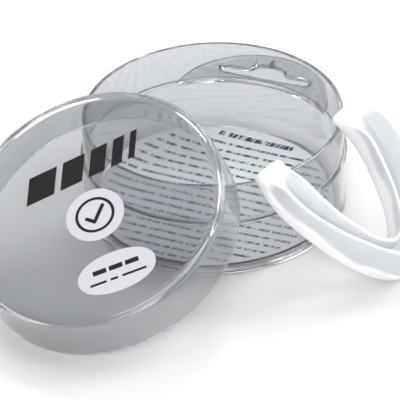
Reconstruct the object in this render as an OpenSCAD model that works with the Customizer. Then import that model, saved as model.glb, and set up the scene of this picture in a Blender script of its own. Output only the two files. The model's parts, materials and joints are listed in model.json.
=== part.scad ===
// Mouthguard with its round clear case, shown open: the lid and the
// mouthguard lean on the rim of the base, and a paper leaflet lies inside.
// Millimetres, +Z up, origin at the centre of the underside of the base.

/* [Case base] */
// Outer diameter of the base at its shoulder
case_d = 86; // [76:1:110]
// Height of the base from the table to its rim
case_h = 34; // [30:0.5:42]
// Height of the shoulder that the closed lid stands on
shoulder_h = 20.5; // [16:0.5:25]
// Thickness of the collar wall above the shoulder
collar_wall = 1.15; // [0.9:0.05:1.6]
// Thickness of the floor
floor_t = 1.7; // [1.4:0.1:2.4]
// How far the bore narrows from the rim to the floor, on the radius
bore_draft = 0.6; // [0:0.1:1]
// How far the outside narrows from the shoulder to the foot, on the radius
body_draft = 0.7; // [0:0.1:1]
// Depth of the moulded groove under the floor
groove_d = 0.5; // [0.2:0.1:0.8]
// Width of the moulded groove under the floor
groove_w = 1.4; // [0.8:0.1:3]
// Width of the flat ring outside that groove
foot_w = 2.6; // [2:0.1:6]
// Radius of the outer corner at the foot
foot_corner = 1; // [0.4:0.1:1.4]

/* [Hang tab] */
// Direction of the hang tab seen from above, in degrees from +X
tab_angle = 67; // [0:1:90]
// How far the hang tab stands out from the body
tab_reach = 15.2; // [13:0.1:20]
// Half the width of the hang tab where it meets the body
tab_half_w = 26.8; // [22:0.1:30]
// Thickness of the hang tab
tab_t = 1.6; // [1.2:0.1:2.4]
// Drop from the shoulder to the top of the hang tab
tab_drop = 0.7; // [0.5:0.1:4]
// Width of the hang slot
slot_w = 32; // [28:0.5:36]
// Height of the side arms of the hang slot
slot_arm_h = 4.8; // [4.4:0.1:6]
// Diameter of the middle bulge of the hang slot
slot_bulge_d = 10; // [8:0.5:12]
// Gap between the body and the near edge of the hang slot
slot_inset = 1.4; // [1:0.1:3]

/* [Lid] */
// How far the lid's skirt stands out past the base's shoulder
lid_overhang = 0.6; // [0.4:0.05:1]
// Thickness of the lid's skirt
lid_wall = 1.15; // [0.9:0.05:1.3]
// Thickness of the lid's flat top
lid_top = 1.2; // [0.9:0.1:2]
// Radial gap between the lid's skirt and the collar
lid_gap = 0.35; // [0.25:0.05:0.5]
// Room between the rim and the underside of the closed lid's top
lid_headroom = 1.8; // [0.5:0.1:4]
// How far the skirt narrows from its lip to the top, on the radius
lid_draft = 0.35; // [0:0.05:0.6]
// Radius of the outer corner between skirt and top
lid_corner = 1; // [0.4:0.1:1.1]
// Direction in which the lid leans out from the base, in degrees from +X
lid_angle = -127; // [-140:1:-115]
// Where the rim meets the lip: 0 at the lip's widest, 1 at its highest
lid_grip = 0.724; // [0.6:0.002:0.8]

/* [Marks on the lid] */
// Diameter of the round sticker
round_d = 19.2; // [14:0.2:22]
// Place of the round sticker on the lid, outward and sideways
round_at = [1.8, 2.4];
// Length of the oval sticker
oval_l = 25.8; // [20:0.2:28]
// Height of the oval sticker
oval_h = 14.8; // [10:0.2:16]
// Place of the oval sticker on the lid, outward and sideways
oval_at = [16.6, 20.2];
// Turn of the oval sticker on the lid
oval_turn = 134.4; // [0:0.2:180]
// Thickness of the stickers
sticker_t = 0.15; // [0.1:0.05:0.3]
// Widths of the slanted bars of the printed mark
bar_widths = [9.6, 7.6, 5.6, 3.8, 2.2];
// Gap between the bars
bar_gap = 2.2; // [1:0.1:4]
// Height of the bars
bar_h = 9.4; // [6:0.2:12]
// Sideways lean of the bars over their height
bar_slant = 4; // [0:0.2:6]
// Place of the middle of the printed mark, outward and sideways
print_at = [-11.5, -11.2];
// Turn of the printed mark on the lid
print_turn = 140.4; // [0:0.2:180]
// Thickness of the ink
print_t = 0.1; // [0.05:0.05:0.2]

/* [Leaflet] */
// Gap between the leaflet's edge and the bore at the floor
leaflet_gap = 2.3; // [1:0.1:6]
// Thickness of the leaflet
leaflet_t = 0.35; // [0.2:0.05:0.6]

/* [Mouthguard] */
// Width of the mouthguard across its back ends
guard_w = 60.2; // [54:0.2:72]
// Length of the mouthguard from its back ends to its front
guard_l = 52.2; // [46:0.2:60]
// Width of the biting floor of the channel, walls included
guard_floor_w = 13; // [11:0.2:16]
// Thickness of the biting floor
guard_floor_t = 3; // [2:0.1:4]
// Height of the outer wall at the front, from the underside
guard_front_h = 21; // [16:0.2:26]
// Height of the outer wall at the back ends, from the underside
guard_back_h = 10; // [8:0.2:14]
// Height of the back ends, which the walls run down to
guard_end_h = 6; // [4:0.2:10]
// Length of leg over which the walls run down
guard_slope_l = 8; // [4:1:16]
// Height of the inner wall, from the underside
guard_inner_h = 8.6; // [6:0.2:12]
// Thickness of the outer wall
guard_outer_wall = 2.8; // [2:0.1:3.6]
// Thickness of the inner wall
guard_inner_wall = 2.4; // [1.8:0.1:3]
// Fullness of the arch: 1 is pointed, 2 is an ellipse
arch_power = 1.34; // [1.2:0.02:2.4]
// How far the back ends of the legs turn in
guard_toe_in = 3; // [0:0.2:5]
// Length of leg over which the back ends turn in
guard_toe_l = 16; // [8:1:24]
// Length of the rounded back ends past the arch
guard_end_r = 2.8; // [2.6:0.2:5]
// Direction in which the mouthguard leans out from the base, in degrees from +X
guard_angle = -39; // [-50:1:-30]
// How far the back ends reach in past the rim that holds them
guard_hook = 1.9; // [1:0.1:6]

/* [Fits] */
// Gap left between the rim and the pieces that lean on it
rest_gap = 0.4; // [0.3:0.05:0.8]
// Gap between the leaflet and the floor it lies on
paper_gap = 0.1; // [0.05:0.05:0.3]

/* [Hidden] */
$fn = 96;
corner_steps = 5;   // straight pieces in each small moulded corner
arch_steps = 18;    // straight pieces in each half of the arch
arch_spread = 1.6;  // how much closer together they are at the front
end_step = 20;      // degrees between the points of a round back end
oval_end = 0.62;    // radius of the oval's ends against a true ellipse's
past = 1;           // how far a cutter runs past what it cuts

body_r = case_d / 2;
foot_r = body_r - body_draft;
groove_r = foot_r - foot_w;                   // outer radius of the groove
lip_r = body_r + lid_overhang;                // outer radius of the lid's lip
lip_bore_r = lip_r - lid_wall;                // inner radius of the lid's lip
collar_r = lip_bore_r - lid_gap;              // outer radius of the collar
rim_bore_r = collar_r - collar_wall;          // bore at the rim
floor_bore_r = rim_bore_r - bore_draft;       // bore at the floor
collar_h = case_h - shoulder_h;
lid_depth = collar_h + lid_headroom + lid_top;

// The lid leans with its lip's low point on the table and its high side over
// the rim. The rim touches the lip's bore at two points, lid_grip of the way up.
touch_r = lip_bore_r - lid_draft - rest_gap;
lid_lean = asin(case_h / (lip_r + lid_grip * touch_r));
touch_side = touch_r * sqrt(1 - lid_grip * lid_grip);
lid_out = sqrt(collar_r * collar_r - touch_side * touch_side)
          + lid_grip * touch_r * cos(lid_lean);
lid_z = lip_r * sin(lid_lean);

// The mouthguard leans with its front on the table and its back ends on the
// rim, which meets the inner edges of the two legs.
leg_bore = guard_w / 2 - guard_floor_w;
leg_touch = arch_x(2 * leg_bore, guard_l - guard_floor_w, guard_hook) - toe_in(guard_hook);
guard_pitch = asin((case_h + rest_gap) / (guard_l - guard_hook));
guard_out = sqrt(collar_r * collar_r - leg_touch * leg_touch)
            - guard_hook * cos(guard_pitch);
guard_z = case_h + rest_gap + guard_hook * sin(guard_pitch);

tab_side_u = sqrt(body_r * body_r - tab_half_w * tab_half_w);
tab_rise = body_r + tab_reach - tab_side_u;
tab_r = (tab_half_w * tab_half_w + tab_rise * tab_rise) / (2 * tab_rise);
tab_centre = body_r + tab_reach - tab_r;

print_len = bar_sum(len(bar_widths) - 1) + bar_gap * (len(bar_widths) - 1);

// Total width of the bars up to and including bar i
function bar_sum(i) = i < 0 ? 0 : bar_widths[i] + bar_sum(i - 1);

// Points of a corner of radius r centred on c, from angle a to angle b
function corner(c, r, a, b) =
    [for (i = [0 : corner_steps])
        let (t = a + (b - a) * i / corner_steps)
        [c[0] + r * cos(t), c[1] + r * sin(t)]];

// Half width of an arch of width w and length l at the distance y from its back
function arch_x(w, l, y) = w / 2 * sqrt(max(0, 1 - pow(y / l, arch_power)));

// How far a leg has turned in at the distance y from its back end
function toe_in(y) = guard_toe_in * pow(max(0, 1 - y / guard_toe_l), 2);

// One side of an arch, closer together towards the front where it turns
function arch_side(w, l, side) =
    [for (i = [0 : arch_steps])
        let (y = l * (1 - pow(1 - i / arch_steps, arch_spread)))
        [side * (arch_x(w, l, y) - (i < arch_steps ? toe_in(y) : 0)), y]];

function reversed(list) = [for (i = [len(list) - 1 : -1 : 0]) list[i]];

// Outline of the band between an outer and an inner arch, with round back ends
function band(inset_out, inset_in, end_r) =
    let (
        ow = guard_w - 2 * inset_out,
        ol = guard_l - inset_out,
        iw = 2 * (leg_bore + inset_in),
        il = guard_l - guard_floor_w + inset_in,
        mid = (ow + iw) / 4 - guard_toe_in,
        half = (ow - iw) / 4
    )
    concat(
        arch_side(ow, ol, 1),
        reversed([for (p = arch_side(ow, ol, -1)) if (p[1] < ol) p]),
        [for (t = [end_step : end_step : 180 - end_step]) [-mid - half * cos(t), -end_r * sin(t)]],
        arch_side(iw, il, -1),
        reversed([for (p = arch_side(iw, il, 1)) if (p[1] < il) p]),
        [for (t = [end_step : end_step : 180 - end_step]) [mid - half * cos(t), -end_r * sin(t)]]
    );

// Puts a piece drawn on the lid's own axis where the leaning lid lies
module on_lid() {
    rotate([0, 0, lid_angle])
        translate([lid_out, 0, lid_z])
            rotate([0, lid_lean, 0])
                children();
}

// Puts a flat mark on the outside of the lid's top, turned about its middle
module mark_at(place, turn, thickness) {
    on_lid()
        translate([place[0], place[1], lid_depth])
            rotate([0, 0, turn])
                linear_extrude(thickness)
                    children();
}

module hang_slot() {
    arm_r = slot_arm_h / 2;
    near = body_r + slot_inset;
    for (side = [-1, 1])
        translate([near + arm_r, side * (slot_w / 2 - arm_r)])
            circle(arm_r);
    translate([near, -slot_w / 2 + arm_r])
        square([slot_arm_h, slot_w - slot_arm_h]);
    translate([near + slot_arm_h - arm_r / 2, 0])
        circle(slot_bulge_d / 2);
}

module hang_tab() {
    rotate([0, 0, tab_angle])
        translate([0, 0, shoulder_h - tab_drop - tab_t])
            linear_extrude(tab_t)
                difference() {
                    translate([tab_centre, 0])
                        circle(tab_r);
                    circle(collar_r);
                    difference() {
                        hang_slot();
                        circle(body_r + slot_inset);
                    }
                }
}

module case_base() {
    outline = concat(
        [[0, 0], [groove_r - groove_w, 0], [groove_r - groove_w, groove_d],
         [groove_r, groove_d], [groove_r, 0]],
        corner([foot_r - foot_corner, foot_corner], foot_corner, -90, 0),
        [[body_r, shoulder_h], [collar_r, shoulder_h], [collar_r, case_h],
         [rim_bore_r, case_h], [floor_bore_r, floor_t], [0, floor_t]]
    );
    color("lightcyan", 0.35) {
        rotate_extrude()
            polygon(outline);
        hang_tab();
    }
}

module case_lid() {
    shoulder_r = lip_r - lid_draft;
    outline = concat(
        [[lip_bore_r, 0], [lip_r, 0]],
        corner([shoulder_r - lid_corner, lid_depth - lid_corner], lid_corner, 0, 90),
        [[0, lid_depth], [0, lid_depth - lid_top],
         [lip_bore_r - lid_draft, lid_depth - lid_top]]
    );
    color("lightcyan", 0.35)
        on_lid()
            rotate_extrude()
                polygon(outline);
}

module leaflet() {
    color("aliceblue")
        translate([0, 0, floor_t + paper_gap])
            cylinder(h = leaflet_t, r = floor_bore_r - leaflet_gap);
}

// Side view of the outer wall: its top curves up from the back to the front
module wall_side() {
    top = [for (i = [0 : arch_steps])
        let (y = guard_l * i / arch_steps)
        if (y >= guard_slope_l)
        [y, guard_back_h + (guard_front_h - guard_back_h) * pow(i / arch_steps, 2)]];
    polygon(concat(
        [[guard_l + past, 0], [-guard_end_r - past, 0],
         [-guard_end_r - past, guard_end_h]],
        top,
        [[guard_l + past, guard_front_h]]
    ));
}

module mouthguard() {
    inner_zone = guard_floor_w / 2;
    color("white")
        rotate([0, 0, guard_angle - 90])
            translate([0, guard_out, guard_z])
                rotate([-guard_pitch, 0, 0])
                    difference() {
                        intersection() {
                            linear_extrude(guard_front_h)
                                polygon(band(0, 0, guard_end_r));
                            rotate([90, 0, 90])
                                translate([0, 0, -guard_w])
                                    linear_extrude(2 * guard_w)
                                        wall_side();
                        }
                        translate([0, 0, guard_floor_t])
                            linear_extrude(guard_front_h)
                                polygon(band(guard_outer_wall, guard_inner_wall,
                                             guard_end_r - guard_inner_wall));
                        translate([0, 0, guard_inner_h])
                            linear_extrude(guard_front_h)
                                polygon(concat(
                                    [[-leg_bore - inner_zone, -guard_end_r - past]],
                                    arch_side(2 * (leg_bore + inner_zone),
                                              guard_l - inner_zone, -1),
                                    reversed(arch_side(2 * (leg_bore + inner_zone),
                                                       guard_l - inner_zone, 1)),
                                    [[leg_bore + inner_zone, -guard_end_r - past]]
                                ));
                    }
}

module round_sticker() {
    color("whitesmoke")
        mark_at(round_at, 0, sticker_t)
            circle(round_d / 2);
}

// An oval: two end circles joined by two long arcs that meet them smoothly
module oval(l, h) {
    end_r = oval_end * h * h / l;
    reach = l / 2 - end_r;
    side_r = (reach * reach + h * h / 4 - end_r * end_r) / (h - 2 * end_r);
    for (side = [-1, 1])
        translate([side * reach, 0])
            circle(end_r);
    intersection() {
        translate([0, h / 2 - side_r])
            circle(side_r);
        translate([0, side_r - h / 2])
            circle(side_r);
        square([2 * reach, h], center = true);
    }
}

module oval_sticker() {
    color("whitesmoke")
        mark_at(oval_at, oval_turn, sticker_t)
            oval(oval_l, oval_h);
}

module lid_print() {
    color("black")
        mark_at(print_at, print_turn, print_t)
            for (i = [0 : len(bar_widths) - 1])
                translate([bar_sum(i - 1) + bar_gap * i - print_len / 2, -bar_h / 2])
                    polygon([[-bar_slant / 2, 0], [bar_widths[i] - bar_slant / 2, 0],
                             [bar_widths[i] + bar_slant / 2, bar_h],
                             [bar_slant / 2, bar_h]]);
}

case_base();
case_lid();
leaflet();
mouthguard();
round_sticker();
oval_sticker();
lid_print();
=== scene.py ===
import json
import math
import bmesh
import bpy
import numpy as np
from mathutils import Matrix, Vector


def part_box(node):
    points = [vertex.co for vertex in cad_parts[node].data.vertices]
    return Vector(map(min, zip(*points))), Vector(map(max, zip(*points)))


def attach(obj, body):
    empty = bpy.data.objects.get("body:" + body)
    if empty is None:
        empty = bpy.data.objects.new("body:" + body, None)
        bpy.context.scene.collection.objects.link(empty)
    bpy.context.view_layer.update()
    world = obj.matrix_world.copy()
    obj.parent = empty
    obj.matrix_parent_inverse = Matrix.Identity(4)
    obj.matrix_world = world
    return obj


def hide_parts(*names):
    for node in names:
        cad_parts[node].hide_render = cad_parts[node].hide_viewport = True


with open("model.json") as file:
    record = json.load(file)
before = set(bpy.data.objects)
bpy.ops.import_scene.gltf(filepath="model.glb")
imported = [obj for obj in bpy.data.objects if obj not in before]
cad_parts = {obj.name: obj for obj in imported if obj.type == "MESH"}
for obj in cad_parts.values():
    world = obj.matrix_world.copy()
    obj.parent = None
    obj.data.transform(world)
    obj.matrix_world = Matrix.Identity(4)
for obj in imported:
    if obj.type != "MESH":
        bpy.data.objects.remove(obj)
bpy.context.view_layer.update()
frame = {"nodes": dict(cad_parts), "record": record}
joints = {j["name"]: j for j in frame["record"]["behaviour"]["joints"]}
mm = 0.001
print("frame loaded:", sorted(frame["nodes"]))

# the camera stands square on to the frame's front, -Y, far off and well above the table
camera = {
    "distance": 1.8,                      # far away, so that the view is nearly parallel
    "elevation": math.radians(34.5),
    "roll": math.radians(-2.41),
    "aim": Vector((-5.18, 0, 0.3)) * mm,  # from the middle of the base
    "viewWidth": 130.0 * mm,              # width seen from side to side at the aim
    "sensor": 36.0,                       # in millimetres, as Blender gives it
    "clip": (0.1, 20.0),
}


def makeCamera(c):
    # placed on a circle round the aim at the elevation; lens = sensor * distance / width seen
    data = bpy.data.cameras.new("camera")
    data.sensor_width = c["sensor"]
    data.lens = c["sensor"] * c["distance"] / c["viewWidth"]
    data.clip_start, data.clip_end = c["clip"]
    obj = bpy.data.objects.new("camera", data)
    bpy.context.scene.collection.objects.link(obj)
    back = Vector((0, -math.cos(c["elevation"]), math.sin(c["elevation"])))
    turn = Matrix.Rotation(math.pi / 2 - c["elevation"], 4, "X") @ Matrix.Rotation(c["roll"], 4, "Z")
    obj.matrix_world = Matrix.Translation(c["aim"] + back * c["distance"]) @ turn
    bpy.context.scene.camera = obj


makeCamera(camera)


meshes = {"weld": 2e-6, "sliver": 1e-7, "sharp": 35.0, "sharpCut": 25.0}   # metres and degrees


def toObject(name, verts, faces, sharpAngle=meshes["sharp"], uv=None, marks=None):
    # a mesh from points and faces, with each point's print place and marks, shaded smooth up to sharpAngle
    mesh = bpy.data.meshes.new(name)
    mesh.from_pydata(np.asarray(verts, float).tolist(), [], faces)
    if uv is not None:
        layer = mesh.uv_layers.new(name="print")
        corner = np.empty(len(mesh.loops), dtype=np.int32)
        mesh.loops.foreach_get("vertex_index", corner)
        layer.data.foreach_set("uv", np.asarray(uv, dtype=np.float32)[corner].ravel())
    for key, values in (marks or {}).items():
        attribute = mesh.attributes.new(key, "FLOAT", "POINT")
        attribute.data.foreach_set("value", np.asarray(values, dtype=np.float32))
    tidyMesh(mesh, sharpAngle)
    obj = bpy.data.objects.new(name, mesh)
    bpy.context.scene.collection.objects.link(obj)
    return obj


def tidyMesh(mesh, sharpAngle):
    # welds points closer than 2 micrometres, drops slivers, turns faces outwards
    bm = bmesh.new()
    bm.from_mesh(mesh)
    bmesh.ops.remove_doubles(bm, verts=bm.verts, dist=meshes["weld"])
    bmesh.ops.dissolve_degenerate(bm, edges=bm.edges, dist=meshes["sliver"])
    bmesh.ops.recalc_face_normals(bm, faces=bm.faces)
    bm.to_mesh(mesh)
    bm.free()
    mesh.shade_smooth()
    mesh.set_sharp_from_angle(angle=math.radians(sharpAngle))


def ringFaces(rows, cols):
    # quads between neighbouring rows of a grid whose columns close on themselves
    i = np.arange(rows - 1)[:, None] * cols
    j = np.arange(cols)[None, :]
    k = (j + 1) % cols
    return np.stack([i + j, i + k, i + cols + k, i + cols + j], -1).reshape(-1, 4).tolist()


def roundCorners(corners, steps=5, support=0.5):
    # each corner (a, b, trim) becomes a quadratic curve that starts and ends trim away from it, with
    # one more point just before and just after it, so that the flat stretches stay flat when shaded
    pts = np.array([c[:2] for c in corners], float)
    trim = np.array([c[2] for c in corners], float)
    before = np.roll(pts, 1, 0) - pts
    after = np.roll(pts, -1, 0) - pts
    before /= np.linalg.norm(before, axis=1)[:, None] + 1e-12
    after /= np.linalg.norm(after, axis=1)[:, None] + 1e-12
    out = []
    for p, r, b, a in zip(pts, trim, before, after):
        if r == 0:
            out.append(p[None])
            continue
        t = np.linspace(0, 1, steps)[:, None]
        curve = (1 - t) ** 2 * (p + b * r) + 2 * t * (1 - t) * p + t ** 2 * (p + a * r)
        out.append(np.vstack([p + b * r * (1 + support), curve, p + a * r * (1 + support)]))
    return np.vstack(out)


def latheSolid(name, profile, angles, place=Matrix(), reach=None):
    # profile (radius, height) from the axis round to the axis again, turned about Z:
    # x = r cos a, y = r sin a; reach(angles) may widen the radius of each profile point
    r = profile[1:-1, 0][:, None] * np.ones(len(angles))
    if reach is not None:
        r = reach(r, angles)
    z = profile[1:-1, 1][:, None] * np.ones(len(angles))
    ring = np.stack([r * np.cos(angles), r * np.sin(angles), z], -1)
    rows, cols = r.shape
    poles = np.array([[0, 0, profile[0, 1]], [0, 0, profile[-1, 1]]])
    verts = np.vstack([ring.reshape(-1, 3), poles]) * mm
    j = np.arange(cols)
    k = (j + 1) % cols
    low = np.full(cols, rows * cols)
    last = (rows - 1) * cols
    faces = ringFaces(rows, cols)
    faces += np.stack([k, j, low], -1).tolist()
    faces += np.stack([last + j, last + k, low + 1], -1).tolist()
    return toObject(name, moved(verts, place), faces)


def moved(verts, place):
    # the points turned and shifted by a 4 by 4 matrix
    m = np.array(place)
    return verts @ m[:3, :3].T + m[:3, 3]


def evenAngles(start, end, count):
    # equal steps from start up to, but not including, end
    return np.linspace(start, end, count, endpoint=False)


base = {
    "bodyRadius": 43.0, "footNarrowing": 0.7, "collarRadius": 42.1, "boreAtRim": 40.95, "boreAtFloor": 40.35,
    "height": 34.0, "shoulder": 20.5, "floor": 1.7,
    "grooveOuter": 39.7, "grooveInner": 38.3, "groove": 0.5,
    "grooveEdge": 0.15,        # slope and rounding of the groove's sides
    "footEdge": 0.9,           # rounding of the outer edge of the foot
    "shoulderSlope": 0.5,      # how far the shoulder falls from the collar to the wall
    "shoulderEdge": 0.15,
    "rimEdge": 0.3,
    "floorFillet": 1.6,        # rounding where the bore meets the floor
    "tabAngle": 67.0, "tabReach": 15.2, "tabHalfWidth": 26.8, "tabTop": 19.8, "tabThick": 1.6,
    "tabEdge": 0.6,            # rounding of the tab's edges
    "slotNear": 44.4, "slotWidth": 32.0, "slotArm": 4.8, "slotBulge": 3.8, "slotBulgeHalf": 5.2,
    "slotEnd": 0.46,           # rounding of the arms' ends, as a share of their height
    "slotNeck": 1.2,           # how far outside the bulge's half width its sides start
    "slotNeckRound": 1.6,
    "slotCrown": 1.0,          # how far inside the bulge's half width its top ends
    "slotCrownRound": 3.4,
    "slotEdge": 0.28,          # rounding of the slot's edges
    "slotFlare": ((1.6, -0.3), (0.35, 0.35), (0.0, 1.2)),   # outward and inward steps, in roundings
    "columns": 300, "tabColumns": 120,
}


def baseProfile(b):
    # closed outline from the axis under the floor, up the outside, over the rim, down the bore
    foot = b["bodyRadius"] - b["footNarrowing"]
    low = b["tabTop"] - b["tabThick"]

    def wall(z):
        # radius of the body's wall at the height z: it widens evenly from the foot to the shoulder
        return foot + b["footNarrowing"] * z / b["shoulder"]

    g = b["grooveEdge"]
    under = roundCorners([
        (0, 0, 0), (b["grooveInner"], 0, g), (b["grooveInner"] + g, b["groove"], g),
        (b["grooveOuter"] - g, b["groove"], g), (b["grooveOuter"], 0, g), (foot, 0, b["footEdge"]),
        (wall(low), low, 0)])
    e = b["tabEdge"]
    reach = b["bodyRadius"] + b["tabReach"]
    tab = roundCorners([
        (wall(low), low, 0), (reach, low, e), (reach, b["tabTop"], e),
        (wall(b["tabTop"]), b["tabTop"], 0)])[1:-1]
    slope = b["shoulderSlope"]
    top = roundCorners([
        (wall(b["tabTop"]), b["tabTop"], 0),
        (b["bodyRadius"], b["shoulder"] - slope, b["shoulderEdge"]),
        (b["collarRadius"], b["shoulder"], slope), (b["collarRadius"], b["height"], b["rimEdge"]),
        (b["boreAtRim"], b["height"], b["rimEdge"]),
        (b["boreAtFloor"], b["floor"], b["floorFillet"]), (0, b["floor"], 0)])
    # how far each of the tab's points lies in from its outline; nan off the tab
    inset = np.full(len(under) + len(tab) + len(top), np.nan)
    inset[len(under):len(under) + len(tab)] = reach - tab[:, 0]
    return np.vstack([under, tab, top]), inset


def tabOutline(b, angles):
    # radius of the tab's outline, a circle through the tab's two corners and its tip
    side = math.sqrt(b["bodyRadius"] ** 2 - b["tabHalfWidth"] ** 2)
    rise = b["bodyRadius"] + b["tabReach"] - side
    circle = (b["tabHalfWidth"] ** 2 + rise ** 2) / (2 * rise)
    centre = b["bodyRadius"] + b["tabReach"] - circle
    off = angles - math.radians(b["tabAngle"])
    return centre * np.cos(off) + np.sqrt(np.maximum(circle ** 2 - (centre * np.sin(off)) ** 2, 0))


def tabReachOver(b, profile, inset):
    # in the tab's rows the radius follows the tab's outline, less each row's own inset, wherever
    # that is outside the wall
    foot = b["bodyRadius"] - b["footNarrowing"]

    def apply(r, angles):
        # max(outline - inset, wall) in the tab's rows, unchanged in the others
        out = r.copy()
        edge = tabOutline(b, angles)
        rows = ~np.isnan(inset[1:-1])
        height = profile[1:-1, 1][rows]
        wall = foot + b["footNarrowing"] * height / b["shoulder"]
        out[rows] = np.maximum(edge[None, :] - inset[1:-1][rows][:, None], wall[:, None])
        return out
    return apply


def slotCutter(b):
    # the slot's outline, flared where it meets the tab's two faces, as a closed solid
    half, near, arm = b["slotWidth"] / 2, b["slotNear"], b["slotNear"] + b["slotArm"]
    end = b["slotArm"] * b["slotEnd"]
    neck, neckRound = b["slotBulgeHalf"] + b["slotNeck"], b["slotNeckRound"]
    crown, crownRound = b["slotBulgeHalf"] - b["slotCrown"], b["slotCrownRound"]
    far = arm + b["slotBulge"]
    outline = roundCorners([
        (near, -half, end), (arm, -half, end), (arm, -neck, neckRound), (far, -crown, crownRound),
        (far, crown, crownRound), (arm, neck, neckRound), (arm, half, end), (near, half, end)], steps=9)
    tangent = np.roll(outline, -1, 0) - np.roll(outline, 1, 0)
    tangent /= np.linalg.norm(tangent, axis=1)[:, None]
    normal = np.stack([-tangent[:, 1], tangent[:, 0]], -1)
    top, low = b["tabTop"], b["tabTop"] - b["tabThick"]
    out, up = np.array(b["slotFlare"]).T * b["slotEdge"]
    flare = np.stack([np.append(out, out[::-1]), np.append(low + up, top - up[::-1])], -1)
    flat = outline[None] + normal[None] * flare[:, 0][:, None, None]
    turn = math.radians(b["tabAngle"])
    x = flat[..., 0] * math.cos(turn) - flat[..., 1] * math.sin(turn)
    y = flat[..., 0] * math.sin(turn) + flat[..., 1] * math.cos(turn)
    z = np.broadcast_to(flare[:, 1][:, None], x.shape)
    verts = np.stack([x, y, z], -1).reshape(-1, 3) * mm
    count = len(outline)
    faces = ringFaces(len(flare), count)
    faces += [list(range(count)), list(range((len(flare) - 1) * count, len(flare) * count))]
    return toObject("slotCutter", verts, faces)


def cutAway(obj, cutter, sharpAngle=meshes["sharpCut"]):
    # takes the cutter out of obj and keeps the result as plain mesh
    cut = obj.modifiers.new("cut", "BOOLEAN")
    cut.operation = "DIFFERENCE"
    cut.solver = "MANIFOLD"
    cut.object = cutter
    done = obj.evaluated_get(bpy.context.evaluated_depsgraph_get())
    mesh = bpy.data.meshes.new_from_object(done)
    obj.modifiers.clear()
    obj.data = mesh
    tidyMesh(mesh, sharpAngle)
    bpy.data.objects.remove(cutter)


baseRows, baseInset = baseProfile(base)
tabSpan = math.asin(base["tabHalfWidth"] / base["bodyRadius"])
tabMiddle = math.radians(base["tabAngle"])
baseAngles = np.concatenate([
    evenAngles(tabMiddle - tabSpan, tabMiddle + tabSpan, base["tabColumns"]),
    evenAngles(tabMiddle + tabSpan, tabMiddle - tabSpan + 2 * math.pi, base["columns"] - base["tabColumns"])])
caseBase = latheSolid("clear_base", baseRows, baseAngles,
                      reach=tabReachOver(base, baseRows, baseInset))
cutAway(caseBase, slotCutter(base))
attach(caseBase, "base")
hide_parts("case_base")
print("case base:", len(caseBase.data.vertices), "points")


lid = {
    "lip": 43.6, "lipBore": 42.45, "draft": 0.35, "depth": 16.5, "top": 1.2,
    "corner": 1.0, "innerCorner": 1.7, "lipEdge": 0.3,
    "levelHeight": 72.0,   # height of the lip when the swing brings the lid level over the base
    "columns": 300,
}


def lidProfile(d):
    # closed outline from the middle of the top, down the outside, round the lip, up the bore
    roof = d["depth"] - d["top"]
    return roundCorners([
        (0, d["depth"], 0), (d["lip"] - d["draft"], d["depth"], d["corner"]),
        (d["lip"], 0, d["lipEdge"]), (d["lipBore"], 0, d["lipEdge"]),
        (d["lipBore"] - d["draft"], roof, d["innerCorner"]), (0, roof, 0)])


def lidPlace(d):
    # where the lid leans: level over the base, swung back through the whole of its joint's range
    swing = joints["lid_swing"]
    pivot = Vector(swing["pos_m"])
    axis = Vector(swing["axis"])
    heading = math.atan2(axis[0], -axis[1])
    back = Matrix.Rotation(-math.radians(swing["range_deg"][1]), 4, axis)
    level = Matrix.Translation((0, 0, d["levelHeight"] * mm)) @ Matrix.Rotation(heading, 4, "Z")
    return Matrix.Translation(pivot) @ back @ Matrix.Translation(-pivot) @ level


lidAt = lidPlace(lid)
caseLid = latheSolid("clear_lid", lidProfile(lid), evenAngles(0, 2 * math.pi, lid["columns"]), lidAt)
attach(caseLid, "lid")
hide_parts("case_lid")
print("lid:", len(caseLid.data.vertices), "points")


def middleOf(node):
    # half way between the low and high corners of a CAD piece's box
    low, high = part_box(node)
    return (Vector(low) + Vector(high)) / 2


def thinDisc(name, outline, thickness, lift, place, sheet, rings=24, edge=0.4, columns=160):
    # outline(a) gives the radius at the angle a; the upper face is scaled rings of it raised by
    # lift(x, y), the lower face is the same rings a thickness below, and the edge closes between them
    a = evenAngles(0, 2 * math.pi, columns)
    rim = outline(a)
    steps = np.linspace(0, 1, rings + 1)[1:]
    share = np.concatenate([steps, steps[::-1]])
    down = np.concatenate([np.zeros(rings), np.full(rings, thickness)])
    share[rings - 1] = share[rings] = 1 - edge * thickness / rim.mean()
    share = np.insert(share, rings, 1.0)
    down = np.insert(down, rings, thickness / 2)
    x = share[:, None] * rim * np.cos(a)
    y = share[:, None] * rim * np.sin(a)
    z = lift(x, y) - down[:, None]
    rows, cols = x.shape
    poles = np.array([[0, 0, lift(0.0, 0.0)], [0, 0, lift(0.0, 0.0) - thickness]])
    flat = np.vstack([np.stack([x, y, z], -1).reshape(-1, 3), poles])
    j = np.arange(cols)
    k = (j + 1) % cols
    pole = np.full(cols, rows * cols)
    faces = ringFaces(rows, cols)
    faces += np.stack([k, j, pole], -1).tolist()
    faces += np.stack([(rows - 1) * cols + j, (rows - 1) * cols + k, pole + 1], -1).tolist()
    uv = 0.5 + flat[:, :2] / sheet
    return toObject(name, moved(flat * mm, place), faces, uv=uv)


stickers = {
    "thickness": 0.15, "roundRadius": 9.6, "ovalLength": 25.8, "ovalHeight": 14.8,
    "ovalPower": 2.15,      # 2 is an ellipse; a little more fills its ends
    "roundTurn": 138.0, "ovalTurn": 134.4,
    "sheet": 30.0,          # width of the square that the print is laid out on
}


def stickerPlace(node, turn):
    # on the lid's own plane at the sticker's place, its print running along the turned axis
    spin = lidAt.to_3x3().to_4x4() @ Matrix.Rotation(math.radians(turn), 4, "Z")
    return Matrix.Translation(middleOf(node)) @ spin


def flatLift(x, y):
    # the same height everywhere, half the thickness up
    return stickers["thickness"] / 2 + 0 * x * y


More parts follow.
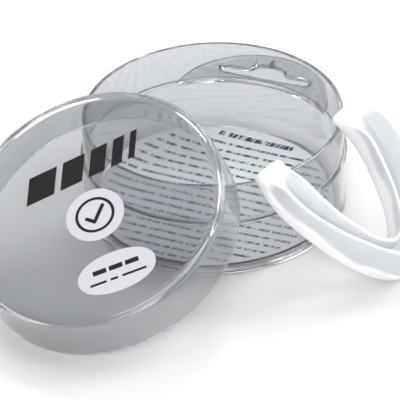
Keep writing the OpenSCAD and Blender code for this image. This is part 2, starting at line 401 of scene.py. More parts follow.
roundSticker = thinDisc(
    "round_label", lambda a: stickers["roundRadius"] + 0 * a, stickers["thickness"],
    flatLift, stickerPlace("round_sticker", stickers["roundTurn"]), stickers["sheet"])


def ovalRadius(a):
    # an ellipse with slightly fuller ends: (2x / length)^p + (2y / height)^p = 1
    p = stickers["ovalPower"]
    across = np.abs(np.cos(a) * 2 / stickers["ovalLength"]) ** p
    upright = np.abs(np.sin(a) * 2 / stickers["ovalHeight"]) ** p
    return (across + upright) ** (-1 / p)


ovalSticker = thinDisc(
    "oval_label", ovalRadius, stickers["thickness"],
    flatLift, stickerPlace("oval_sticker", stickers["ovalTurn"]), stickers["sheet"])
for piece, node in ((roundSticker, "round_sticker"), (ovalSticker, "oval_sticker")):
    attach(piece, "lid")
    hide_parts(node)

leaflet = {
    "radius": 38.05, "thickness": 0.14, "printTurn": -25.2,
    "curl": 2.4, "curlAngle": 128.0, "curlSpan": 46.0, "curlStart": 0.62,   # the edge that lifts
    "wave": 0.16, "waveRates": (0.11, 0.14), "waveShift": 0.7,              # radians per mm, radians
    "sheet": 80.0, "rings": 40,
}


def leafletLift(x, y):
    # flat on the floor, with a slow wave, and lifted towards the edge round the curl's direction
    d = leaflet
    distance = np.hypot(x, y) / d["radius"]
    bearing = np.degrees(np.arctan2(y, x)) - (d["curlAngle"] - d["printTurn"])
    bearing = (bearing + 180) % 360 - 180
    rise = np.clip((distance - d["curlStart"]) / (1 - d["curlStart"]), 0, 1) ** 2
    lifted = d["curl"] * rise * np.exp(-(bearing / d["curlSpan"]) ** 2)
    inX, inY = d["waveRates"]
    slow = 1 + np.sin(x * inX + d["waveShift"]) * np.cos(y * inY)
    return d["thickness"] + lifted + d["wave"] * slow * np.clip(distance, 0, 1)


paperFloor = Vector((0, 0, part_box("leaflet")[0][2]))
paper = thinDisc(
    "paper_leaflet", lambda a: leaflet["radius"] + 0 * a, leaflet["thickness"], leafletLift,
    Matrix.Translation(paperFloor) @ Matrix.Rotation(math.radians(leaflet["printTurn"]), 4, "Z"),
    leaflet["sheet"], rings=leaflet["rings"])
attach(paper, "paper")
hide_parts("leaflet")
print("stickers and leaflet made")


guard = {
    "width": 60.2, "length": 52.2, "band": 13.0, "floor": 3.0,
    "frontHeight": 21.0, "backHeight": 10.0, "innerHeight": 8.6,
    "power": 1.34, "toeIn": 3.0, "toeLength": 16.0,
    "toeClear": 0.05,                       # share of the arch at its front that never toes in
    "hook": 1.9, "restGap": 0.4,
    "endLength": 2.8, "endReach": 0.985, "endPower": 3.2,    # the rounded back ends
    "endWall": 2.2, "endFade": 1.6,         # thickness of the walls that close the channel, and their slope
    "archStations": 150, "endStations": 16,
    "crowding": 0.9,                        # under 1 spaces the stations wider at the front
    "lipHeight": 4.6, "lipStep": 0.8,       # thick biting base that stands proud of the outer wall
    "lipSlope": 1.3,                        # height over which the base slopes in to the wall
    "lipBelowTop": 1.7,                     # the base stays this far under the wall's top
    "bandWave": (0.75, 0.5),                # how far the thick base's upper edge wanders, slow and quick
    "bandRates": (38, 83),                  # radians from one back end to the other
    "ripple": 0.22,                         # unevenness of the hand-trimmed upper edge
    "outerRates": (61, 23), "innerRate": 47,
    "outerDrop": 5.2, "outerDropLength": 8.0, "outerDropPower": 1.4,   # the walls run down at the back
    "innerDrop": 5.8, "innerDropLength": 13.0, "innerDropPower": 1.6,
    "wallUnderFloor": 0.4,                  # the most that the inner wall may sink below the channel's floor
    "under": 0.35,                          # where the flat underside starts
    "outerWall": (0.35, 1.75, 2.6),         # its outer top, inner top and inner foot, in from the step
    "innerWall": (10.5, 11.3, 12.7, 12.9),  # its foot and top in the channel, its top and foot outside
    "roundings": (1.5, 0.7, 0.7, 0.55, 0.6, 1.1, 1.1, 0.6, 0.6, 1.3),  # of the section's corners in turn
    "thickFade": 1.2,                       # height over which the thick base fades to thin wall
    "noseStart": 1.5, "noseFade": 3.0,      # how far from the back ends the plastic is thick throughout
    "channelSpan": (2.2, 11.2), "channelAbove": 1.5,
    "sharp": 60.0,                          # edges bent by more degrees than this stay sharp
}


def archSide(half, length, s, g):
    # s runs -1..1 from one back end to the other: y = length (1 - s^2), and
    # x = half sqrt(1 - (y / length)^power), less the toe-in near the back
    y = length * (1 - s ** 2)
    toe = g["toeIn"] * np.maximum(0, 1 - y / g["toeLength"]) ** 2
    reach = half * np.sqrt(np.maximum(0, 1 - (y / length) ** g["power"]))
    x = np.sign(s) * (reach - toe * (np.abs(s) > g["toeClear"]))
    return np.stack([x, y], -1)


def guardStations(g):
    # outer and inner edge of the band at each station, and how far the channel has closed there;
    # past each back end the band narrows by (1 - q^p)^(1/p), q running 0..1 to the tip
    s = np.linspace(1, -1, g["archStations"])
    s = np.sign(s) * np.abs(s) ** g["crowding"]
    outer = archSide(g["width"] / 2, g["length"], s, g)
    inner = archSide(g["width"] / 2 - g["band"], g["length"] - g["band"], s, g)
    q = np.linspace(0, g["endReach"], g["endStations"] + 1)[1:]
    shrink = (1 - q ** g["endPower"]) ** (1 / g["endPower"])
    middle = (outer[0] + inner[0]) / 2
    half = (outer[0] - inner[0]) / 2
    back = np.stack([0 * q, -g["endLength"] * q], -1)
    endOut = middle + half * shrink[:, None] + back
    endIn = middle - half * shrink[:, None] + back
    mirror = np.array([-1, 1])
    outer = np.vstack([endOut[::-1], outer, endOut * mirror])
    inner = np.vstack([endIn[::-1], inner, endIn * mirror])
    behind = np.minimum(outer[:, 1], inner[:, 1])
    t = np.clip((g["endWall"] - g["endLength"] - behind) / g["endFade"] + 1, 0, 1)
    return outer, inner, t * t * (3 - 2 * t)


def guardSection(g, outer, inner, closed):
    # the channel's section at every station, as corner points (distance in from the outer edge, height);
    # height = back + (front - back) (y / length)^2, less the ripple, less drop (1 - y / run)^power
    y = np.clip(outer[:, 1], 0, None)
    scale = np.linalg.norm(outer - inner, axis=1) / g["band"]
    run = np.linspace(0, 1, len(y))
    tall = g["backHeight"] + (g["frontHeight"] - g["backHeight"]) * (y / g["length"]) ** 2
    fall = np.clip(1 - y / g["outerDropLength"], 0, 1) ** g["outerDropPower"]
    first, second = g["outerRates"]
    ripple = 1 + np.sin(run * first) * np.sin(run * second + 1)
    tall = tall - g["ripple"] * ripple - g["outerDrop"] * fall
    fall = np.clip(1 - y / g["innerDropLength"], 0, 1) ** g["innerDropPower"]
    ripple = 1 + np.sin(run * g["innerRate"] + 2)
    short = g["innerHeight"] - g["ripple"] * ripple / 2 - g["innerDrop"] * fall
    short = np.maximum(short, g["floor"] - g["wallUnderFloor"])
    slow, quick = g["bandWave"]
    slowRate, quickRate = g["bandRates"]
    step = g["lipHeight"] + slow * np.sin(run * slowRate) + quick * np.sin(run * quickRate + 1)
    step = np.minimum(step, tall - g["lipBelowTop"])
    deep = g["floor"] + (short - g["floor"]) * closed
    ground = np.zeros_like(y)
    lip = g["lipStep"]
    outTop, inTop, inFoot = g["outerWall"]
    channelFoot, channelTop, backTop, backFoot = g["innerWall"]
    corners = (
        (g["under"], ground), (0, step), (lip, step + g["lipSlope"]),
        (lip + outTop, tall), (lip + inTop, tall), (lip + inFoot, deep),
        (channelFoot, deep), (channelTop, short), (backTop, short), (backFoot, ground))
    pts = np.stack([np.stack([across * scale, height], -1) for across, height in corners], 1)
    trim = scale[:, None] * np.array(g["roundings"])
    return pts, trim


def sectionLoop(pts, trim, curveSteps=5, between=5, most=0.45):
    # each corner is a quadratic curve from trim before it to trim after it, and straight runs lie between;
    # no trim takes more than the share most of the shorter side next to it
    before = np.roll(pts, 1, 1) - pts
    after = np.roll(pts, -1, 1) - pts
    lengthAfter = np.linalg.norm(after, axis=2)
    room = most * np.minimum(lengthAfter, np.roll(lengthAfter, 1, 1))
    trim = np.minimum(trim, room)[..., None]
    start = pts + before / (np.linalg.norm(before, axis=2)[..., None] + 1e-9) * trim
    end = pts + after / (lengthAfter[..., None] + 1e-9) * trim
    t = np.linspace(0, 1, curveSteps)[None, None, :, None]
    curve = (1 - t) ** 2 * start[:, :, None] + 2 * t * (1 - t) * pts[:, :, None] + t ** 2 * end[:, :, None]
    u = np.linspace(0, 1, between + 2)[1:-1][None, None, :, None]
    straight = end[:, :, None] * (1 - u) + np.roll(start, -1, 1)[:, :, None] * u
    loop = np.concatenate([curve, straight], 2)
    return loop.reshape(len(pts), -1, 2)


def guardPlace(g):
    # front edge on the table at the joint, leaning back so that its legs clear the rim by the rest gap
    tip = joints["guard_tip"]
    axis = Vector(tip["axis"])
    rim = (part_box("case_base")[1][2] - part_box("case_base")[0][2]) / mm
    pitch = math.asin((rim + g["restGap"]) / (g["length"] - g["hook"]))
    out = Vector((axis[1], -axis[0], 0))
    up = Vector((0, 0, 1))
    along = out * math.cos(pitch) - up * math.sin(pitch)
    normal = out * math.sin(pitch) + up * math.cos(pitch)
    side = along.cross(normal)
    turn = Matrix((side, along, normal)).transposed().to_4x4()
    return Matrix.Translation(tip["pos_m"]) @ turn @ Matrix.Translation((0, -g["length"] * mm, 0))


def guardMarks(g, outer, loop):
    # where the plastic is thick (its base and both back ends), and where the channel is, at each point; the
    # channel mark carries painted light in the material
    across, height = loop[..., 0], loop[..., 1]
    run = np.linspace(0, 1, len(loop))
    step = g["lipHeight"] + g["bandWave"][0] * np.sin(run * g["bandRates"][0])
    low = np.clip(1 - (height - step[:, None]) / g["thickFade"], 0, 1)
    nose = np.clip(1 - (outer[:, 1] - g["noseStart"]) / g["noseFade"], 0, 1)
    near, far = g["channelSpan"]
    inside = (across > near) & (across < far) & (height > g["channelAbove"])
    thick = np.maximum(low * ~inside, nose[:, None])
    return {"thick": thick.ravel(), "channel": inside.astype(float).ravel()}


def makeGuard(g):
    # the section carried along the arch: point = outer edge + distance in * direction across, height up
    outer, inner, closed = guardStations(g)
    loop = sectionLoop(*guardSection(g, outer, inner, closed))
    across = (inner - outer) / (np.linalg.norm(inner - outer, axis=1)[:, None] + 1e-9)
    plan = outer[:, None] + across[:, None] * loop[..., 0][..., None]
    verts = np.concatenate([plan, loop[..., 1][..., None]], -1)
    rows, cols = loop.shape[:2]
    faces = ringFaces(rows, cols)
    faces += [list(range(cols)), list(range((rows - 1) * cols, rows * cols))]
    placed = moved(verts.reshape(-1, 3) * mm, guardPlace(g))
    return toObject("soft_mouthguard", placed, faces, g["sharp"], marks=guardMarks(g, outer, loop))


mouthguard = makeGuard(guard)
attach(mouthguard, "guard")
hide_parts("mouthguard")
print("mouthguard:", len(mouthguard.data.vertices), "points")


class Nodes:
    # short ways to add nodes to a tree and join them
    def __init__(self, tree):
        self.tree = tree

    def add(self, kind, inputs=None, **settings):
        # each input is another node's socket, to be linked, or a plain value
        node = self.tree.nodes.new(kind)
        for key, value in settings.items():
            setattr(node, key, value)
        for key, value in (inputs or {}).items():
            if isinstance(value, bpy.types.NodeSocket):
                self.tree.links.new(value, node.inputs[key])
            else:
                node.inputs[key].default_value = value
        return node

    def math(self, operation, a, b=0.0, c=0.0, clamp=False):
        # one operation on up to three numbers or sockets
        node = self.add("ShaderNodeMath", {0: a, 1: b, 2: c}, operation=operation, use_clamp=clamp)
        return node.outputs[0]

    def fade(self, value, low, high):
        # 0 below low, 1 above high, smooth between
        node = self.add("ShaderNodeMapRange", {"Value": value, "From Min": low, "From Max": high},
                        interpolation_type="SMOOTHSTEP")
        return node.outputs["Result"]

    def blend(self, share, a, b):
        # a (1 - share) + b share
        node = self.add("ShaderNodeMix", {0: share, 6: a, 7: b}, data_type="RGBA")
        return node.outputs[2]


def put(n, value, socket):
    # joins an output to an input
    n.tree.links.new(value, socket)


def newGroup(name, inputs, outputs):
    # a node group with named float or vector sockets; gives back its nodes and its two ends
    group = bpy.data.node_groups.new(name, "ShaderNodeTree")
    for key, kind, value in inputs:
        socket = group.interface.new_socket(name=key, in_out="INPUT", socket_type=kind)
        if value is not None:
            socket.default_value = value
    for key in outputs:
        group.interface.new_socket(name=key, in_out="OUTPUT", socket_type="NodeSocketFloat")
    n = Nodes(group)
    return group, n, n.add("NodeGroupInput").outputs, n.add("NodeGroupOutput")


handling = {
    "turn": (0.2, 0.3, 0.7), "stretch": (18.0, 420.0, 420.0),   # scratches run long in one direction
    "scratchScale": 2.2, "scratchEdge": (0.66, 0.7),
    "patchScale": 30.0, "patchEdge": (0.45, 0.65),              # they come in patches
    "speckScale": 150.0, "speckEdge": (0.07, 0.03),
    "thinScale": 90.0, "thinEdge": (0.6, 0.66),                 # and most specks are left out
    "slowScale": 22.0,
}


def makeScuffs(h):
    # fine scratches, specks of dust and slow unevenness on a moulded surface
    group, n, given, out = newGroup("handlingMarks", [
        ("Place", "NodeSocketVector", None), ("Patch Scale", "NodeSocketFloat", h["patchScale"]),
        ("Amount", "NodeSocketFloat", 0.5)], ["Scratches", "Specks", "Unevenness"])
    place = given["Place"]
    turned = n.add("ShaderNodeMapping", {"Vector": place, "Rotation": h["turn"]}).outputs[0]
    stretched = n.add("ShaderNodeVectorMath", {0: turned, 1: h["stretch"]}, operation="MULTIPLY").outputs[0]
    fine = n.add("ShaderNodeTexNoise", {"Vector": stretched, "Scale": h["scratchScale"],
                                        "Detail": 2.0}).outputs[0]
    patches = n.add("ShaderNodeTexNoise", {"Vector": place, "Scale": given["Patch Scale"]}).outputs[0]
    lines = n.math("MULTIPLY", n.fade(fine, *h["scratchEdge"]), n.fade(patches, *h["patchEdge"]))
    cells = n.add("ShaderNodeTexVoronoi", {"Vector": place, "Scale": h["speckScale"]}).outputs["Distance"]
    keep = n.add("ShaderNodeTexNoise", {"Vector": place, "Scale": h["thinScale"]}).outputs[0]
    dots = n.math("MULTIPLY", n.fade(cells, *h["speckEdge"]), n.fade(keep, *h["thinEdge"]))
    slow = n.add("ShaderNodeTexNoise", {"Vector": place, "Scale": h["slowScale"], "Detail": 1.0}).outputs[0]
    put(n, n.math("MULTIPLY", lines, given["Amount"]), out.inputs["Scratches"])
    put(n, n.math("MULTIPLY", dots, given["Amount"]), out.inputs["Specks"])
    put(n, slow, out.inputs["Unevenness"])
    return group


printing = {
    "rowEdge": (-0.03, 0.06), "rowSeed": 17.31,      # each row draws its own words
    "wordScale": 2.6, "wordEdge": 0.035,
    "slant": 0.25, "strokesPerMm": 1.5, "strokeEdge": (0.42, 0.52), "faintest": 0.3,
}


def makePrintRows(p):
    # rows of dashes that stand for printed lines: x along the row, y down, both in millimetres
    group, n, given, out = newGroup("printedRows", [
        ("Place", "NodeSocketVector", None), ("Row Pitch", "NodeSocketFloat", 4.0),
        ("Letter Height", "NodeSocketFloat", 0.4), ("Word Length", "NodeSocketFloat", 6.0),
        ("Gaps", "NodeSocketFloat", 0.4)], ["Ink"])
    split = n.add("ShaderNodeSeparateXYZ", {0: given["Place"]}).outputs
    rows = n.math("DIVIDE", split[1], given["Row Pitch"])
    row = n.math("FLOOR", rows)
    inRow = n.math("ABSOLUTE", n.math("SUBTRACT", n.math("FRACT", rows), 0.5))
    half = n.math("MULTIPLY", given["Letter Height"], 0.5)
    band = n.fade(n.math("SUBTRACT", half, inRow), *p["rowEdge"])
    seed = n.math("MULTIPLY", row, p["rowSeed"])
    along = n.math("DIVIDE", split[0], given["Word Length"])
    wordAt = n.add("ShaderNodeCombineXYZ", {0: along, 1: seed}).outputs[0]
    words = n.add("ShaderNodeTexNoise", {"Vector": wordAt, "Scale": p["wordScale"], "Detail": 1.0},
                  noise_dimensions="2D").outputs[0]
    slant = n.math("ADD", split[0], n.math("MULTIPLY", split[1], p["slant"]))
    dense = n.math("MULTIPLY", slant, p["strokesPerMm"])
    strokeAt = n.add("ShaderNodeCombineXYZ", {0: dense, 1: rows}).outputs[0]
    strokes = n.add("ShaderNodeTexNoise", {"Vector": strokeAt, "Scale": 1.0, "Detail": 1.0},
                    noise_dimensions="2D").outputs[0]
    word = n.fade(n.math("SUBTRACT", words, given["Gaps"]), 0.0, p["wordEdge"])
    stronger = n.math("MULTIPLY", n.fade(strokes, *p["strokeEdge"]), 1 - p["faintest"])
    mark = n.math("ADD", p["faintest"], stronger)
    put(n, n.math("MULTIPLY", n.math("MULTIPLY", band, word), mark), out.inputs["Ink"])
    return group


scuffs = makeScuffs(handling)
printRows = makePrintRows(printing)


def newMaterial(name, **values):
    # a principled material with these plain values; gives back its nodes and its shader's inputs
    material = bpy.data.materials.new(name)
    material.use_nodes = True
    n = Nodes(material.node_tree)
    shader = material.node_tree.nodes["Principled BSDF"]
    for key, value in values.items():
        shader.inputs[key].default_value = value
    return material, n, shader.inputs


def addBump(n, pin, height, strength, distance):
    # small relief from a height pattern; distance is the full height in metres
    bump = n.add("ShaderNodeBump", {"Height": height, "Strength": strength, "Distance": distance})
    put(n, bump.outputs[0], pin["Normal"])


clearPlastic = {
    "baseTint": (0.66, 0.672, 0.685, 1), "lidTint": (0.7, 0.712, 0.725, 1),
    "baseWear": 0.35, "lidWear": 0.45,
    "dust": (0.97, 0.97, 0.96, 1), "dustShare": 0.5, "ior": 1.59,
    "rough": 0.02, "wornRough": 0.3, "slowRough": 0.03,
    "scratchDepth": -0.02, "relief": (0.12, 0.0012),
}


def makeClearPlastic(name, tint, amount):
    # polished polystyrene: clear with a faint cool tint, rougher where it is scratched or dusty;
    # roughness = rough + wornRough * worn + slowRough * unevenness
    c = clearPlastic
    material, n, pin = newMaterial(name, **{
        "IOR": c["ior"], "Transmission Weight": 1.0, "Metallic": 0.0})
    place = n.add("ShaderNodeTexCoord").outputs["Object"]
    marks = n.add("ShaderNodeGroup", {}, node_tree=scuffs)
    put(n, place, marks.inputs["Place"])
    marks.inputs["Amount"].default_value = amount
    uneven = marks.outputs["Unevenness"]
    worn = n.math("ADD", marks.outputs["Scratches"], marks.outputs["Specks"], clamp=True)
    put(n, n.blend(n.math("MULTIPLY", worn, c["dustShare"]), tint, c["dust"]), pin["Base Color"])
    rough = n.math("ADD", c["rough"], n.math("MULTIPLY", worn, c["wornRough"]))
    put(n, n.math("ADD", rough, n.math("MULTIPLY", uneven, c["slowRough"])), pin["Roughness"])
    addBump(n, pin, n.math("ADD", uneven, n.math("MULTIPLY", worn, c["scratchDepth"])), *c["relief"])
    return material


def printPlace(n, sheet):
    # the piece's own flat layout in millimetres, x along the print and y down
    uv = n.add("ShaderNodeUVMap", uv_map="print").outputs[0]
    centred = n.add("ShaderNodeVectorMath", {0: uv, 1: (0.5, 0.5, 0.0)}, operation="SUBTRACT").outputs[0]
    size = (sheet, -sheet, 0.0)
    return n.add("ShaderNodeVectorMath", {0: centred, 1: size}, operation="MULTIPLY").outputs[0]


def rowsAt(n, place, rows):
    # the dash rows, started from the point given
    start, pitch, height, word, gaps = rows
    shifted = n.add("ShaderNodeVectorMath", {0: place, 1: start}, operation="SUBTRACT").outputs[0]
    marks = n.add("ShaderNodeGroup", {"Place": shifted, "Row Pitch": pitch, "Letter Height": height,
                                      "Word Length": word, "Gaps": gaps}, node_tree=printRows)
    return marks.outputs["Ink"]


inkEdge = {"box": 0.12, "line": 0.06}    # softness of a printed edge, in millimetres


def boxMask(n, place, middle, half):
    # 1 inside a rectangle of the given middle and half sizes, in millimetres
    away = n.add("ShaderNodeVectorMath", {0: place, 1: (*middle, 0)}, operation="SUBTRACT").outputs[0]
    split = n.add("ShaderNodeSeparateXYZ", {0: away}).outputs
    inX = n.fade(n.math("SUBTRACT", half[0], n.math("ABSOLUTE", split[0])), 0.0, inkEdge["box"])
    inY = n.fade(n.math("SUBTRACT", half[1], n.math("ABSOLUTE", split[1])), 0.0, inkEdge["box"])
    return n.math("MULTIPLY", inX, inY)


inkColor = (0.006, 0.006, 0.007, 1)
paperFinish = {
    "color": (0.84, 0.84, 0.87, 1), "shade": (0.79, 0.795, 0.825, 1), "shadeShare": 0.25,
    "ink": (0.035, 0.037, 0.045, 1), "bodyInk": 0.95,
    # start of the rows, their pitch, letter height as a share of it, word length, and the noise level
    # under which nothing is printed
    "body": ((0.0, -30.4, 0.0), 4.0, 0.33, 6.0, 0.35),
    "heading": ((1.5, -35.4, 0.0), 4.6, 0.52, 8.5, 0.36),
    "headingBox": ((0.0, -33.3), (13.2, 2.0)),
    "margin": (1.6, 2.0),                # the print fades out this far in from the paper's edge
    "bodyTop": (-30.5, -30.3),           # and starts below the heading
    "fibres": 900.0, "relief": (0.15, 0.0001),
}


def paperFibres(n, scale):
    # fine cloudy noise, scale in cells per metre
    place = n.add("ShaderNodeTexCoord").outputs["Object"]
    return n.add("ShaderNodeTexNoise", {"Vector": place, "Scale": scale, "Detail": 3.0}).outputs[0]


def makeLeafletPaper(d):
    # thin paper printed with a bold heading and rows of small dashes that keep clear of its edge
    f = paperFinish
    material, n, pin = newMaterial("printedPaper", **{"Roughness": 0.62, "Subsurface Weight": 0.15,
                                                      "Subsurface Scale": 0.001})
    place = printPlace(n, d["sheet"])
    body = rowsAt(n, place, f["body"])
    heading = rowsAt(n, place, f["heading"])
    distance = n.add("ShaderNodeVectorMath", {0: place}, operation="LENGTH").outputs["Value"]
    split = n.add("ShaderNodeSeparateXYZ", {0: place}).outputs
    outside, inside = f["margin"]
    clear = n.fade(distance, d["radius"] - outside, d["radius"] - inside)
    below = n.fade(split[1], *f["bodyTop"])
    bodyInk = n.math("MULTIPLY", n.math("MULTIPLY", body, clear), below)
    headInk = n.math("MULTIPLY", heading, boxMask(n, place, *f["headingBox"]))
    ink = n.math("MAXIMUM", n.math("MULTIPLY", bodyInk, f["bodyInk"]), headInk)
    fibres = paperFibres(n, f["fibres"])
    shade = n.blend(n.math("MULTIPLY", fibres, f["shadeShare"]), f["color"], f["shade"])
    put(n, n.blend(ink, shade, f["ink"]), pin["Base Color"])
    addBump(n, pin, fibres, *f["relief"])
    return material


stickerFinish = {
    "color": (0.56, 0.562, 0.58, 1), "shade": (0.51, 0.512, 0.53, 1), "shadeShare": 0.2,
    "fibres": 700.0, "relief": (0.1, 0.0001),
    "ringRadius": 6.0, "ringHalf": 0.5,
    "tick": ((-2.9, 0.4), (-0.8, 2.5), (3.2, -2.4)), "tickHalf": 0.65,
}


def stickerBase(name):
    # matt coated paper, without its print
    f = stickerFinish
    material, n, pin = newMaterial(name, **{"Roughness": 0.5, "Specular IOR Level": 0.25})
    fibres = paperFibres(n, f["fibres"])
    shade = n.blend(n.math("MULTIPLY", fibres, f["shadeShare"]), f["color"], f["shade"])
    addBump(n, pin, fibres, *f["relief"])
    return material, n, pin, shade


def stroke(n, place, start, end, half):
    # 1 within half a stroke's width of the line from start to end:
    # the distance to the nearest point of that line, whose share along it is held between 0 and 1
    run = (end[0] - start[0], end[1] - start[1], 0.0)
    away = n.add("ShaderNodeVectorMath", {0: place, 1: (*start, 0.0)}, operation="SUBTRACT").outputs[0]
    dot = n.add("ShaderNodeVectorMath", {0: away, 1: run}, operation="DOT_PRODUCT").outputs["Value"]
    share = n.math("DIVIDE", dot, run[0] ** 2 + run[1] ** 2, clamp=True)
    near = n.add("ShaderNodeVectorMath", {0: run, "Scale": share}, operation="SCALE").outputs[0]
    gap = n.add("ShaderNodeVectorMath", {0: away, 1: near}, operation="DISTANCE").outputs["Value"]
    return n.fade(n.math("SUBTRACT", half, gap), -inkEdge["line"], inkEdge["line"])


def makeRoundLabel():
    # a plain ring with a tick inside: ink where | distance - radius | < half the line
    f = stickerFinish
    material, n, pin, shade = stickerBase("tickLabel")
    place = printPlace(n, stickers["sheet"])
    distance = n.add("ShaderNodeVectorMath", {0: place}, operation="LENGTH").outputs["Value"]
    off = n.math("ABSOLUTE", n.math("SUBTRACT", distance, f["ringRadius"]))
    ring = n.fade(n.math("SUBTRACT", f["ringHalf"], off), -inkEdge["line"], inkEdge["line"])
    start, turn, end = f["tick"]
    tick = n.math("MAXIMUM", stroke(n, place, start, turn, f["tickHalf"]),
                  stroke(n, place, turn, end, f["tickHalf"]))
    put(n, n.blend(n.math("MAXIMUM", ring, tick), shade, inkColor), pin["Base Color"])
    return material


# middle and half sizes of the oval label's dashes: a bold row over a fine one
ovalDashes = (
    ((-5.4, -1.7), (2.3, 0.95)), ((0.0, -1.7), (2.3, 0.95)), ((5.4, -1.7), (2.3, 0.95)),
    ((-6.6, 2.4), (2.8, 0.5)), ((-1.3, 2.4), (1.3, 0.5)), ((5.4, 2.4), (4.1, 0.5)))


def makeOvalLabel():
    # the dashes in ink, the darkest of them at each point
    material, n, pin, shade = stickerBase("dashLabel")
    place = printPlace(n, stickers["sheet"])
    ink = 0.0
    for middle, half in ovalDashes:
        ink = n.math("MAXIMUM", ink, boxMask(n, place, middle, half))
    put(n, n.blend(ink, shade, inkColor), pin["Base Color"])
    return material


padInk = {
    "dry": (0.02, 0.02, 0.019, 1), "specular": 0.15, "rough": 0.45, "slowRough": 0.2,
    "wear": 0.6, "relief": (0.1, 0.0002),
}


def makePrintInk(k):
    # black pad-printed ink, satin and slightly uneven
    material, n, pin = newMaterial("printInk", **{"Specular IOR Level": k["specular"]})
    place = n.add("ShaderNodeTexCoord").outputs["Object"]
    marks = n.add("ShaderNodeGroup", {"Place": place, "Amount": k["wear"]}, node_tree=scuffs)
    uneven = marks.outputs["Unevenness"]
    put(n, n.blend(uneven, inkColor, k["dry"]), pin["Base Color"])
    put(n, n.math("ADD", k["rough"], n.math("MULTIPLY", uneven, k["slowRough"])), pin["Roughness"])
    addBump(n, pin, uneven, *k["relief"])
    return material


softGuard = {
    "thickColor": (0.985, 0.985, 0.98, 1), "thinColor": (0.66, 0.675, 0.705, 1),
    # the channel's grey below is painted light: lighter than the thin walls, it lifts the shade in the recess
    "channelPaintedLight": (0.74, 0.755, 0.775, 1),
    "wear": 0.5, "patchScale": 60.0, "cloudScale": 160.0, "cloudShare": 0.5,
    "rough": 0.24, "cloudRough": 0.16, "scratchRough": 0.2,
    "dentScale": 240.0, "relief": (0.25, 0.0006),
}


def makeSoftPlastic(g):
    # milky soft plastic: whiter where it is thick, cooler and clearer where it is thin, with painted light
    # that makes the channel's inside a lighter grey than the thin walls;
    # share of the thick colour = thick + cloudShare * (cloud - 0.5), held between 0 and 1
    material, n, pin = newMaterial("milkySoftPlastic", **{
        "IOR": 1.49, "Subsurface Weight": 0.7, "Subsurface Radius": (1.0, 1.0, 1.0),
        "Subsurface Scale": 0.002, "Transmission Weight": 0.1, "Coat Weight": 0.25, "Coat Roughness": 0.18})
    place = n.add("ShaderNodeTexCoord").outputs["Object"]
    thick = n.add("ShaderNodeAttribute", attribute_name="thick").outputs["Fac"]
    marks = n.add("ShaderNodeGroup", {"Place": place, "Amount": g["wear"],
                                      "Patch Scale": g["patchScale"]}, node_tree=scuffs)
    cloud = n.add("ShaderNodeTexNoise", {"Vector": place, "Scale": g["cloudScale"], "Detail": 3.0}).outputs[0]
    wander = n.math("MULTIPLY", n.math("SUBTRACT", cloud, 0.5), g["cloudShare"])
    share = n.math("ADD", thick, wander, clamp=True)
    # painted light: inside the channel the thin walls' colour gives way to a lighter grey that lifts the
    # recess's shade
    channel = n.add("ShaderNodeAttribute", attribute_name="channel").outputs["Fac"]
    wall = n.blend(channel, g["thinColor"], g["channelPaintedLight"])
    put(n, n.blend(share, wall, g["thickColor"]), pin["Base Color"])
    rough = n.math("ADD", g["rough"], n.math("MULTIPLY", cloud, g["cloudRough"]))
    worn = n.math("MULTIPLY", marks.outputs["Scratches"], g["scratchRough"])
    put(n, n.math("ADD", rough, worn), pin["Roughness"])
    dents = n.add("ShaderNodeTexNoise", {"Vector": place, "Scale": g["dentScale"], "Detail": 2.0}).outputs[0]
    addBump(n, pin, dents, *g["relief"])
    return material


def dress(obj, material):
    # one material over the whole piece
    obj.data.materials.clear()
    obj.data.materials.append(material)


dress(caseBase, makeClearPlastic("clearBase", clearPlastic["baseTint"], clearPlastic["baseWear"]))
dress(caseLid, makeClearPlastic("clearLid", clearPlastic["lidTint"], clearPlastic["lidWear"]))
dress(paper, makeLeafletPaper(leaflet))
dress(roundSticker, makeRoundLabel())
dress(ovalSticker, makeOvalLabel())
dress(mouthguard, makeSoftPlastic(softGuard))
dress(frame["nodes"]["lid_print"], makePrintInk(padInk))
print("materials made")


studio = {
    "floorHalf": 3.0,                      # metres
    "floorDrop": 0.3,                      # a hair under the parts, so that no two faces lie in one plane
    "floorColor": (0.77, 0.772, 0.775, 1),
    "worldColor": (0.78, 0.79, 0.8, 1), "worldStrength": 0.62,
    "view": "Standard", "bounces": 24,
    "aim": (0, 0, 0.02),                   # where every lamp points
}

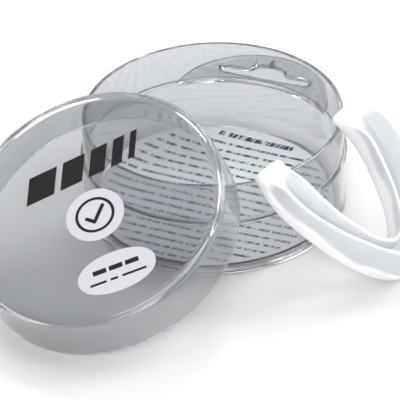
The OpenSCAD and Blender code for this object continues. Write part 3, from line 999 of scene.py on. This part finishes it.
# each lamp's width and height in metres, its power in watts and its place
lamps = {
    "overhead": ((0.9, 0.9), 3.5, (-0.1, 0.1, 1.3)),
    "windowRight": ((0.5, 0.7), 6.0, (0.9, 0.25, 0.75)),
    "windowBackLeft": ((0.34, 0.3), 4.5, (-0.5, 0.98, 0.5)),
    "windowBack": ((0.34, 0.3), 3.5, (0.2, 0.8, 1.0)),
    "stripRight": ((0.1, 0.7), 3.0, (1.0, -0.25, 0.4)),
    "frontFill": ((0.7, 0.5), 10.5, (-0.15, -1.15, 0.8)),
}


def makeFloor(s):
    # one large square just under the parts
    half = s["floorHalf"]
    low = -s["floorDrop"] * mm
    corners = [(-half, -half, low), (half, -half, low), (half, half, low), (-half, half, low)]
    mesh = bpy.data.meshes.new("floor")
    mesh.from_pydata(corners, [], [(0, 1, 2, 3)])
    obj = bpy.data.objects.new("floor", mesh)
    bpy.context.scene.collection.objects.link(obj)
    material, _, pin = newMaterial("paleFloor", **{"Roughness": 0.8, "Specular IOR Level": 0.2})
    pin["Base Color"].default_value = s["floorColor"]
    mesh.materials.append(material)


def makeLight(name, size, power, position, aim):
    # a rectangle whose -Z faces along aim - position
    data = bpy.data.lights.new(name, "AREA")
    data.shape = "RECTANGLE"
    data.size, data.size_y = size
    data.energy = power
    obj = bpy.data.objects.new(name, data)
    bpy.context.scene.collection.objects.link(obj)
    obj.location = position
    obj.rotation_mode = "QUATERNION"
    obj.rotation_quaternion = (Vector(aim) - Vector(position)).to_track_quat("-Z", "Y")


def makeWorld(s):
    # even light from all round, the plain view transform and the light's bounces
    world = bpy.data.worlds.new("studio")
    world.use_nodes = True
    sky = world.node_tree.nodes["Background"]
    sky.inputs["Color"].default_value = s["worldColor"]
    sky.inputs["Strength"].default_value = s["worldStrength"]
    bpy.context.scene.world = world
    bpy.context.scene.view_settings.view_transform = s["view"]
    paths = bpy.context.scene.cycles    # light runs a long way round inside clear walls
    paths.max_bounces = paths.glossy_bounces = paths.transmission_bounces = s["bounces"]


makeFloor(studio)
makeWorld(studio)
for lampName, (size, power, position) in lamps.items():
    makeLight(lampName, size, power, position, studio["aim"])
print("studio made")
